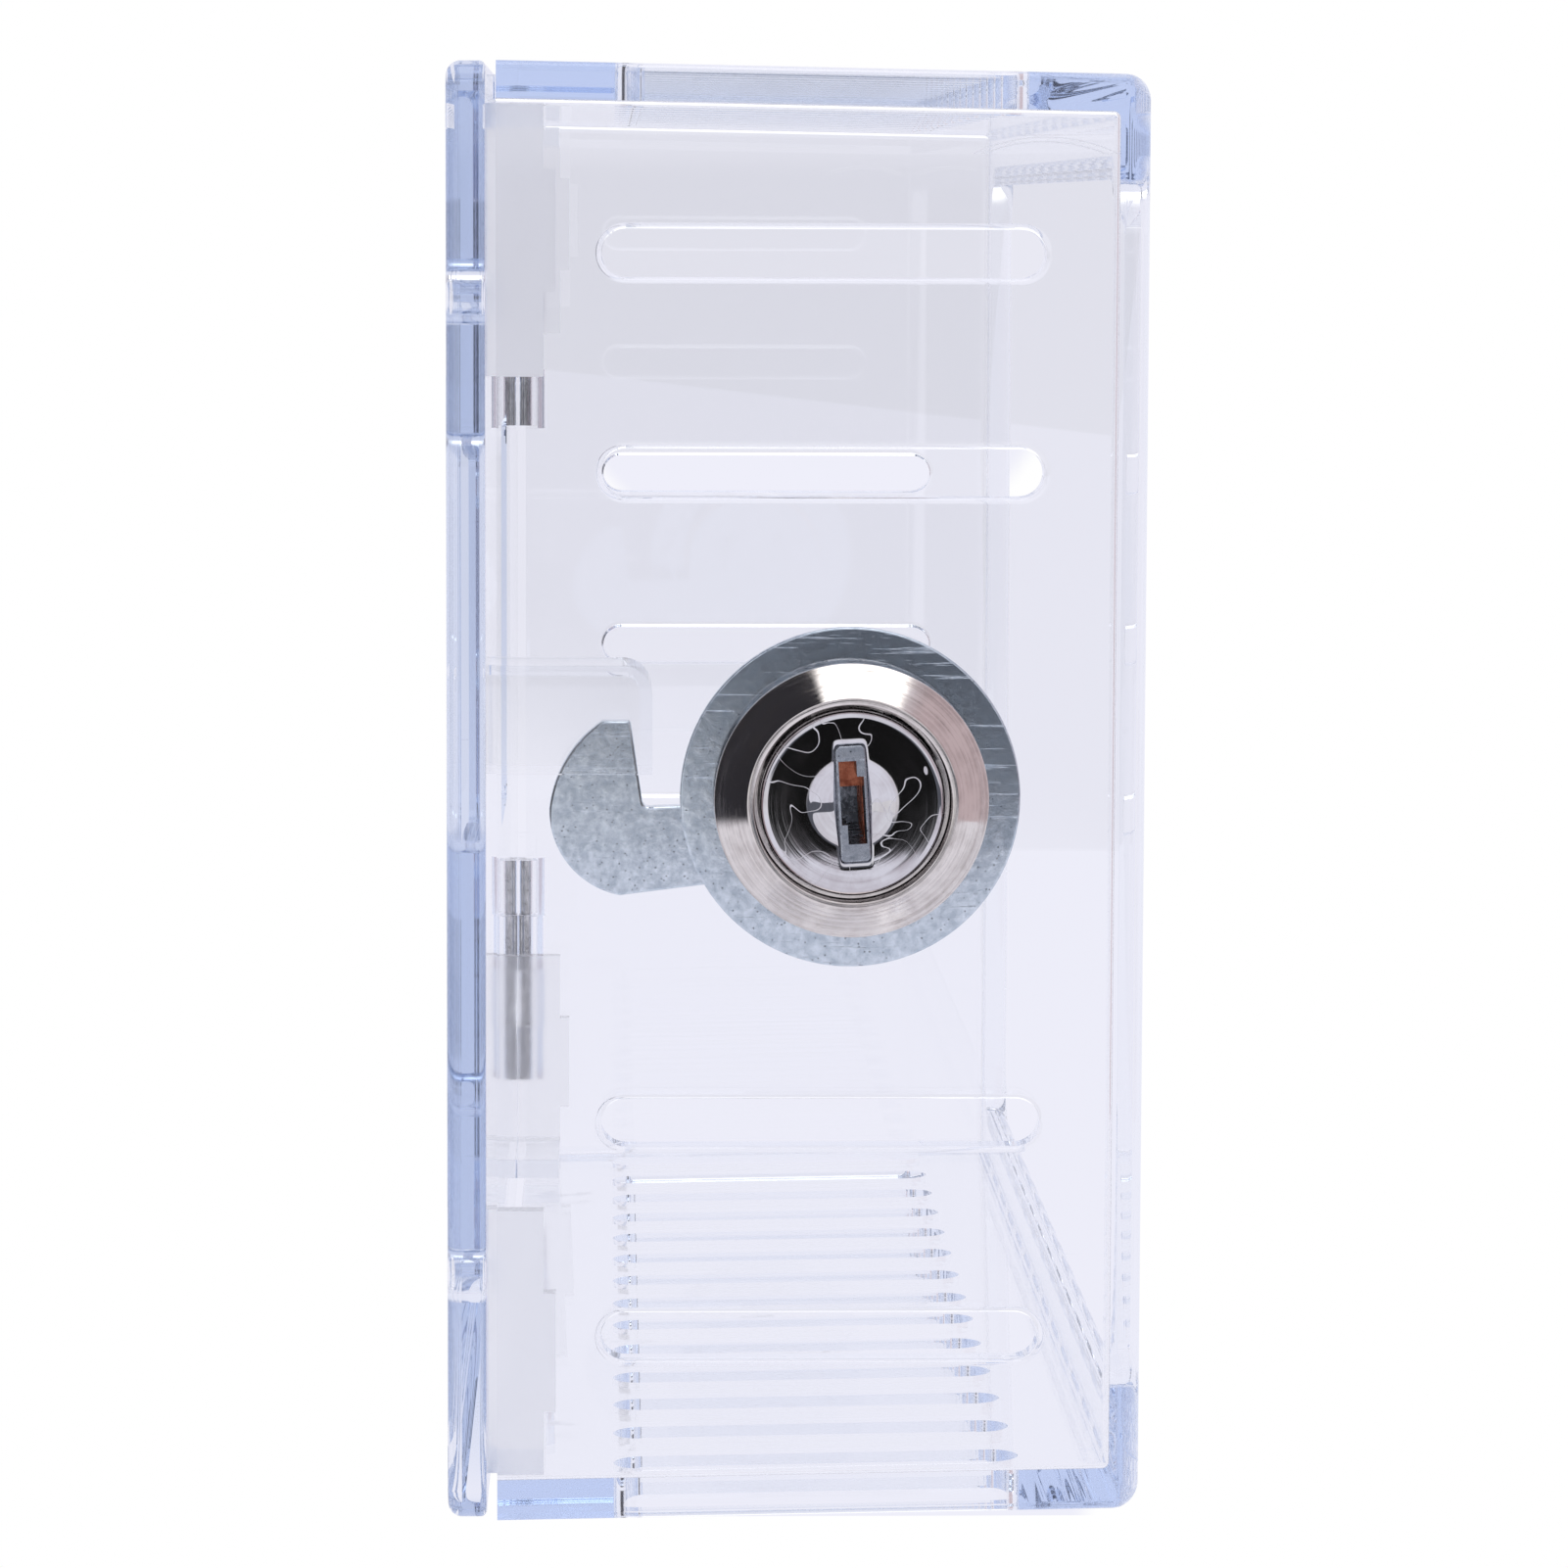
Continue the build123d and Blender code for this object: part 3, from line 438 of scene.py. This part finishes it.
def makeRoughMetal(name, spec):
    material, tree = newMaterial(name)
    place = addNode(tree, "ShaderNodeTexCoord").outputs["Object"]
    inMm = addNode(tree, "ShaderNodeVectorMath", {"operation": "SCALE", "Scale": 1000.0}, {0: place})
    mottle = addNode(tree, "ShaderNodeTexNoise",
                     {"Scale": 1 / spec["mottle"], "Detail": 5.0, "Roughness": 0.6},
                     {"Vector": inMm.outputs[0]})
    darkest, lightest = spec["toneShown"]
    toned = addNode(tree, "ShaderNodeMapRange", {"From Min": darkest, "From Max": lightest},
                    {"Value": mottle.outputs[0]})
    base = addNode(tree, "ShaderNodeMix",
                   {"data_type": "RGBA", 6: toLinear(spec["dull"]), 7: toLinear(spec["colour"])},
                   {0: toned.outputs[0]})
    # Pits: a dot at the middle of each cell
    pits = addNode(tree, "ShaderNodeTexVoronoi", {"Scale": 1 / spec["pitSpacing"], "Randomness": 1.0},
                   {"Vector": inMm.outputs[0]})
    pitted = addNode(tree, "ShaderNodeMapRange",
                     {"interpolation_type": "SMOOTHSTEP", "From Min": spec["pitSize"],
                      "From Max": spec["pitFloor"] * spec["pitSize"]},
                     {"Value": pits.outputs["Distance"]})
    # Scratches: noise drawn out along one direction, kept where it peaks
    drawn = addNode(tree, "ShaderNodeMapping",
                    {"Rotation": spec["scratchTurn"],
                     "Scale": [rate / spec["scratch"] for rate in spec["scratchRates"]]},
                    {"Vector": inMm.outputs[0]})
    lines = addNode(tree, "ShaderNodeTexNoise", {"Scale": 1.0, "Detail": 3.0, "Roughness": 0.7},
                    {"Vector": drawn.outputs[0]})
    shown, full = spec["scratchShown"]
    scratched = addNode(tree, "ShaderNodeMapRange", {"From Min": shown, "From Max": full},
                        {"Value": lines.outputs[0]})
    colour = addNode(tree, "ShaderNodeMix", {"data_type": "RGBA", 7: toLinear(spec["pit"])},
                     {0: pitted.outputs[0], 6: base.outputs[2]})
    roughest, smoothest = spec["toneRough"]
    low, high = spec["roughness"]
    rough = addNode(tree, "ShaderNodeMapRange",
                    {"From Min": roughest, "From Max": smoothest, "To Min": high, "To Max": low},
                    {"Value": mottle.outputs[0]})
    sunk = addNode(tree, "ShaderNodeMath", {"operation": "ADD"},
                   {0: pitted.outputs[0], 1: scratched.outputs[0]})
    height = addNode(tree, "ShaderNodeMath", {"operation": "SUBTRACT"},
                     {0: mottle.outputs[0], 1: sunk.outputs[0]})
    bump = addNode(tree, "ShaderNodeBump", {"Strength": 1.0, "Distance": spec["bump"]},
                   {"Height": height.outputs[0]})
    shader = addNode(tree, "ShaderNodeBsdfPrincipled", {"Metallic": 1.0},
                     {"Base Color": colour.outputs[2], "Roughness": rough.outputs[0],
                      "Normal": bump.outputs[0]})
    addNode(tree, "ShaderNodeOutputMaterial", links={"Surface": shader.outputs[0]})
    return material


# The base plate's acrylic takes up a little more of the light than the cover's
plateSpec = {**plasticSpec, "absorbColour": "#4694d9", "absorbDensity": 3.9}

clear = makePlastic("moulded_clear_acrylic", plasticSpec)
clearPlate = makePlastic("moulded_clear_acrylic_plate", plateSpec)
nickel = makeTurnedMetal("turned_nickel_plate", nickelSpec)
chrome = makeTurnedMetal("polished_chrome_plate", chromeSpec)
zinc = makeRoughMetal("blue_zinc_plate", zincSpec)
casting = makeRoughMetal("die_cast_zinc", castSpec)
brass = makeRoughMetal("blanked_red_brass", brassSpec)
steel = makeRoughMetal("drawn_steel", steelSpec)
print("materials made")


# Rounds each corner of a closed outline: the arc's centre is on the corner's bisector, radius / sin(half
# angle) from the corner, and the arc swings between its two tangent points
def roundedOutline(corners, radii, steps):
    corners = np.asarray(corners, float)
    radius = np.broadcast_to(np.asarray(radii, float), len(corners))[:, None]
    back = np.roll(corners, 1, axis=0) - corners
    ahead = np.roll(corners, -1, axis=0) - corners
    back /= np.linalg.norm(back, axis=1, keepdims=True)
    ahead /= np.linalg.norm(ahead, axis=1, keepdims=True)
    half = np.arccos(np.clip((back * ahead).sum(axis=1, keepdims=True), -1, 1)) / 2
    middle = (back + ahead) / np.linalg.norm(back + ahead, axis=1, keepdims=True)
    centre = corners + middle * radius / np.sin(half)
    first = corners + back * radius / np.tan(half) - centre
    last = corners + ahead * radius / np.tan(half) - centre
    swing = (math.pi - 2 * half)[:, :, None]
    share = np.linspace(0, 1, steps)[None, :, None]
    arc = np.sin((1 - share) * swing) * first[:, None] + np.sin(share * swing) * last[:, None]
    return (centre[:, None] + arc / np.sin(swing)).reshape(-1, 2)


# Faces of a grid of points whose columns wrap round. The rows wrap too, unless the two end rows are capped.
# The signed volume (sum of corner . (corner x corner) / 6 over the triangles) turns the faces outwards
def closedFaces(grid, capped):
    rows, columns = grid.shape[:2]
    row, column = np.meshgrid(np.arange(rows - capped), np.arange(columns), indexing="ij")
    below, beside = (row + 1) % rows, (column + 1) % columns
    quads = np.stack([row * columns + column, row * columns + beside, below * columns + beside,
                      below * columns + column], axis=-1).reshape(-1, 4)
    points = grid.reshape(-1, 3) - grid.reshape(-1, 3).mean(axis=0)
    triangles = np.concatenate([quads[:, [0, 1, 2]], quads[:, [0, 2, 3]]])
    first, second, third = (points[triangles[:, i]] for i in range(3))
    volume = np.einsum("ij,ij->i", first, np.cross(second, third)).sum()
    caps = [np.arange(columns)[::-1], np.arange(columns) + (rows - 1) * columns] if capped else []
    faces = [face.tolist() for face in [*quads, *caps]]
    return faces if volume > 0 else [face[::-1] for face in faces]


# Flat faces keep their own normal, and the small roundings beside them take up the turn
def weighNormals(piece):
    weighted = piece.modifiers.new("flat_faces_flat", "WEIGHTED_NORMAL")
    weighted.mode = "FACE_AREA"
    weighted.keep_sharp = True


# A piece from one or more closed surfaces, given in mm, that stands for a CAD node and rides on its body
def makePiece(name, surfaces, node, body, material, smoothAngle=35):
    points, faces, start = [], [], 0
    for grid, capped in surfaces:
        faces += [[corner + start for corner in face] for face in closedFaces(grid, capped)]
        points.append(grid.reshape(-1, 3) / 1000)
        start += grid.shape[0] * grid.shape[1]
    mesh = bpy.data.meshes.new(name)
    mesh.from_pydata(np.concatenate(points).tolist(), [], faces)
    mesh.shade_smooth()
    mesh.set_sharp_from_angle(angle=math.radians(smoothAngle))
    mesh.materials.append(material)
    piece = bpy.data.objects.new(name, mesh)
    bpy.context.scene.collection.objects.link(piece)
    weighNormals(piece)
    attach(piece, body)
    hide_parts(node)
    print("piece made:", name, len(mesh.polygons), "faces")


lockPlace = (-88.0, -33.1, 0.0)  # where the lock's axis meets the outside of the lock wall, mm
plugLean = math.radians(3.5)  # the keyway's top leans towards the wall


# Angles all the way round the lock's axis, as one row
def allRound(columns):
    return np.linspace(0, 2 * math.pi, columns, endpoint=False)[None, :]


# Points at a reach and an angle about the lock's axis, depth mm inside the wall's outer face
def aboutLock(reach, angle, depth, turn=0.0):
    reach, angle, depth = np.broadcast_arrays(reach, angle, depth)
    return np.stack([lockPlace[0] + depth, lockPlace[1] + reach * np.cos(angle - turn),
                     lockPlace[2] + reach * np.sin(angle - turn)], axis=-1)


# Lock housing: a coned head and a body with a rolled thread and two flats. In mm, and degrees for the pip
housingSpec = {
    "columns": 240, "rowStep": 0.1, "arcSteps": 4,
    "headRadius": 11.25, "headRim": 0.7, "headHeight": 3.4, "frontRadius": 8.6, "seatGap": 0.03,
    "mouthRadius": 8.1, "mouthFloor": 0.6, "boreRadius": 6.1, "boreLead": 19.0, "seatLead": 2.0,
    "rounds": (0.02, 0.02, 0.1, 0.06, 0.14, 0.16, 0.08, 0.02),  # of the head's outline, from the bore out
    "bodyRadius": 9.4, "bodyLength": 19.7, "flat": 8.0, "flatCosine": 0.3,
    "threadStart": 3.2, "threadPitch": 1.0, "threadDepth": 0.55, "threadIn": 0.8, "threadOut": 0.6,
    "flankSlope": 1.2, "crestShare": 0.1,
    "pipInner": 7.3, "pipOuter": 8.5, "pipMiddle": 100.0, "pipHalf": 9.0, "pipHeight": 0.95,
    "pipColumns": 9, "pipSunk": 0.1, "pipRound": 0.1,
    "grooveHalf": 2.85, "grooveReach": 6.95, "grooveEnd": 14.25, "grooveStep": 0.02,
}


# The body's radius falls by the thread's depth times a rounded saw that climbs one pitch each turn, and is
# cut to flat / |cos(angle)| by the flats. The bore has four grooves that the wafers rise into: the reach of
# each of two crossed bars, where it is more than the bore's radius
def makeHousing(spec):
    angle = allRound(spec["columns"])
    # The outline's first and last corner only lead it in and out, so their points are left out
    steps = spec["arcSteps"]
    head = roundedOutline([
        (spec["boreRadius"], spec["boreLead"]), (spec["boreRadius"], -spec["mouthFloor"]),
        (spec["mouthRadius"], -spec["mouthFloor"]), (spec["mouthRadius"], -spec["headHeight"]),
        (spec["frontRadius"], -spec["headHeight"]), (spec["headRadius"], -spec["headRim"]),
        (spec["headRadius"], -spec["seatGap"]), (spec["bodyRadius"] - spec["seatLead"], -spec["seatGap"])],
        spec["rounds"], steps)[steps:-steps]
    rowStep = spec["rowStep"]
    depth = np.arange(0.0, spec["bodyLength"] + 0.1 * rowStep, rowStep)[:, None]
    climb = (depth - spec["threadStart"]) / spec["threadPitch"] - angle / (2 * math.pi)
    saw = np.abs(2 * (climb - np.floor(climb)) - 1)
    cut = np.clip((depth - spec["threadStart"]) / spec["threadIn"], 0, 1)
    cut = cut * np.clip((spec["bodyLength"] - depth) / spec["threadOut"], 0, 1)
    groove = np.clip(spec["flankSlope"] * (1 - saw) - spec["crestShare"], 0, 1)
    thread = spec["bodyRadius"] - spec["threadDepth"] * cut * groove
    body = np.minimum(thread, spec["flat"] / np.maximum(np.abs(np.cos(angle)), spec["flatCosine"]))
    outer = aboutLock(body, angle, depth)
    along, across = (np.maximum(np.abs(turned(angle + plugLean)), 1e-6) for turned in (np.cos, np.sin))
    upright = np.minimum(spec["grooveHalf"] / along, spec["grooveReach"] / across)
    level = np.minimum(spec["grooveReach"] / along, spec["grooveHalf"] / across)
    grooved = np.maximum(spec["boreRadius"], np.maximum(upright, level))
    bore = aboutLock(np.full((1, 1), spec["boreRadius"]), angle,
                     np.array([[spec["bodyLength"]], [spec["grooveEnd"] + spec["grooveStep"]]]))
    grooves = aboutLock(grooved, angle, np.array([[spec["grooveEnd"]]]))
    mouth = np.where(head[:, :1] < spec["grooveReach"], np.maximum(head[:, :1], grooved), head[:, :1])
    front = aboutLock(mouth, angle, head[:, 1:])
    # The pip that stops the quarter turn stands on the body's end
    pipSpread = spec["pipHalf"] * np.linspace(-1, 1, spec["pipColumns"])
    pipAngle = np.radians(spec["pipMiddle"] + pipSpread)[:, None]
    foot = spec["bodyLength"] - spec["pipSunk"]
    top = spec["bodyLength"] + spec["pipHeight"]
    pipOutline = roundedOutline([(spec["pipInner"], foot), (spec["pipOuter"], foot),
                                 (spec["pipOuter"], top), (spec["pipInner"], top)], spec["pipRound"], 3)
    pip = aboutLock(pipOutline[None, :, 0], pipAngle, pipOutline[None, :, 1])
    makePiece("turned_lock_housing", [(np.concatenate([front, outer, bore, grooves]), False), (pip, True)],
              "lock_housing", "cover", nickel)


makeHousing(housingSpec)

# Clamp washer and nut behind the wall, in mm
washerSpec = {
    "columns": 180, "inner": 9.5, "outer": 14.0, "front": 3.03, "thickness": 1.14, "round": 0.18,
}
nutSpec = {
    "columns": 240, "inner": 9.5, "flats": 22.0, "front": 4.2, "thickness": 4.0,
    "chamfer": 1.75, "crown": 10.9, "rows": (0, 0.1, 0.3, 0.6, 0.9, 1.2),  # rows: depths from each face
}


def makeWasher(spec):
    angle = allRound(spec["columns"])
    back = spec["front"] + spec["thickness"]
    outline = roundedOutline([(spec["inner"], spec["front"]), (spec["outer"], spec["front"]),
                              (spec["outer"], back), (spec["inner"], back)], spec["round"], 4)
    makePiece("zinc_clamp_washer", [(aboutLock(outline[:, :1], angle, outline[:, 1:]), False)],
              "clamp_washer", "cover", zinc)


# The nut's reach is half its flats / cos(angle from the nearest flat), held inside a cone at each face
def makeNut(spec):
    angle = allRound(spec["columns"])
    back = spec["front"] + spec["thickness"]
    rows = np.array(spec["rows"])
    depth = np.concatenate([spec["front"] + rows, back - rows[::-1]])[:, None]
    side = np.mod(angle - math.pi / 3, math.pi / 3) - math.pi / 6
    crown = spec["crown"] + spec["chamfer"] * np.minimum(depth - spec["front"], back - depth)
    outer = np.minimum(spec["flats"] / 2 / np.cos(side), crown)
    inner = np.full((1, 1), spec["inner"])
    grid = np.concatenate([aboutLock(inner, angle, spec["front"]), aboutLock(outer, angle, depth),
                           aboutLock(inner, angle, back)])
    makePiece("zinc_lock_nut", [(grid, False)], "lock_nut", "cover", zinc, smoothAngle=20)


makeWasher(washerSpec)
makeNut(nutSpec)

# Cap: a bright pressed shell round the plug's nose, dished about the keyway. All in mm
capSpec = {
    "columns": 256, "slotHalf": (1.285, 4.8), "slotPower": 12.0,
    "lipRows": 6, "lipShare": 0.08, "faceRows": 40, "faceShare": 0.1, "rimRows": 7,
    "outer": 7.55, "round": 0.5, "front": -3.1, "back": -1.5, "inner": 7.15, "innerFront": -2.35,
    "dishRadius": 3.5, "dishDepth": 0.5, "dishSoft": 0.004, "dishEnd": 1.6, "dishFade": 10,
    "slotRound": 0.16, "slotFall": 0.6,
}


# The face runs from the slot, whose reach is (|cos/a|^p + |sin/b|^p)^(-1/p), to the rim. Its depth is the
# dish, depth * (x + sqrt(x^2 + soft)) / 2 with x = 1 - (reach / radius)^2, faded out at the dish's end, and a
# small rounding at the slot that falls off as exp(-distance)
def makeCap(spec):
    angle = allRound(spec["columns"])
    power = spec["slotPower"]
    slot = (np.abs(np.cos(angle) / spec["slotHalf"][0]) ** power
            + np.abs(np.sin(angle) / spec["slotHalf"][1]) ** power) ** (-1 / power)
    share = np.concatenate([np.linspace(0, spec["lipShare"], spec["lipRows"]),
                            np.linspace(spec["faceShare"], 1, spec["faceRows"])])[:, None]
    reach = slot + (spec["outer"] - spec["round"] - slot) * share
    outwards = reach / spec["dishRadius"]
    inside = 1 - outwards ** 2
    dish = spec["dishDepth"] * 0.5 * (inside + np.sqrt(inside ** 2 + spec["dishSoft"]))
    dish = dish * np.clip((spec["dishEnd"] - outwards) * spec["dishFade"], 0, 1)
    lip = spec["slotRound"] * np.exp(-(reach - slot) / (spec["slotFall"] * spec["slotRound"]))
    face = aboutLock(reach, angle, spec["front"] + dish + lip, plugLean)
    arc = np.linspace(0, math.pi / 2, spec["rimRows"])[1:, None]
    rim = aboutLock(spec["outer"] - spec["round"] * (1 - np.sin(arc)), angle,
                    spec["front"] + spec["round"] * (1 - np.cos(arc)), plugLean)
    shell = np.array([(spec["outer"], spec["back"]), (spec["inner"], spec["back"]),
                      (spec["inner"], spec["innerFront"])])
    sides = aboutLock(shell[:, :1], angle, shell[:, 1:], plugLean)
    hidden = aboutLock(slot, angle, spec["innerFront"], plugLean)
    makePiece("pressed_plug_cap", [(np.concatenate([face, rim, sides, hidden]), False)],
              "plug_cap", "plug", chrome)


makeCap(capSpec)

# Small stamped and cast pieces: the CAD shape, merged, with its edges broken as tumbling leaves them. Each
# has a name, the width of its broken edges in mm, a slot and a material
brokenEdges = {
    "hook_cam": ("stamped_hook_cam", 0.22, "zinc_plate", zinc),
    "stop_washer": ("stamped_stop_washer", 0.10, "zinc_plate", zinc),
    "spring_washer": ("split_spring_washer", 0.12, "zinc_plate", zinc),
    "cam_screw": ("cross_head_cam_screw", 0.10, "zinc_plate", zinc),
}
breakingSpec = {"merge": 0.000001, "flatAngle": 1, "edgeAngle": 40, "segments": 2}  # metres, degrees


def makeBroken(spec, node, name, width, slot, material):
    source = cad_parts[node].data
    points = np.empty(len(source.vertices) * 3)
    source.vertices.foreach_get("co", points)
    corners = np.empty(len(source.loops), dtype=np.int32)
    source.loops.foreach_get("vertex_index", corners)
    mesh = bpy.data.meshes.new(name)
    mesh.from_pydata(points.reshape(-1, 3).tolist(), [], corners.reshape(-1, 3).tolist())
    solid = bmesh.new()
    solid.from_mesh(mesh)
    bmesh.ops.remove_doubles(solid, verts=solid.verts, dist=spec["merge"])
    bmesh.ops.dissolve_limit(solid, angle_limit=math.radians(spec["flatAngle"]), verts=solid.verts,
                             edges=solid.edges)
    solid.to_mesh(mesh)
    solid.free()
    mesh.shade_smooth()
    mesh.set_sharp_from_angle(angle=math.radians(spec["edgeAngle"]))
    mesh.materials.append(material)
    piece = bpy.data.objects.new(name, mesh)
    bpy.context.scene.collection.objects.link(piece)
    bevel = piece.modifiers.new("broken_edges", "BEVEL")
    bevel.width = width / 1000
    bevel.segments = spec["segments"]
    bevel.limit_method = "ANGLE"
    bevel.angle_limit = math.radians(spec["edgeAngle"])
    bevel.use_clamp_overlap = True
    weighNormals(piece)
    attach(piece, "plug")
    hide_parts(node)
    print("piece made:", name, len(mesh.polygons), "faces")


for node, made in brokenEdges.items():
    makeBroken(breakingSpec, node, *made)

# The other CAD nodes keep their shape and get their finish
finishes = {
    "base_plate": clearPlate, "cover": clear, "lock_plug": casting,
    "upper_hinge_pin": steel, "lower_hinge_pin": steel,
}
for number in range(1, 6):
    finishes[f"wafer_{number}"] = brass
    finishes[f"wafer_spring_{number}"] = steel
for node, material in finishes.items():
    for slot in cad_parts[node].material_slots:
        slot.material = material
print("finishes given")

# Light has to pass many plastic faces
cycles = bpy.context.scene.cycles
cycles.max_bounces = 90
cycles.transmission_bounces = 90
cycles.glossy_bounces = 60
cycles.use_denoising = True
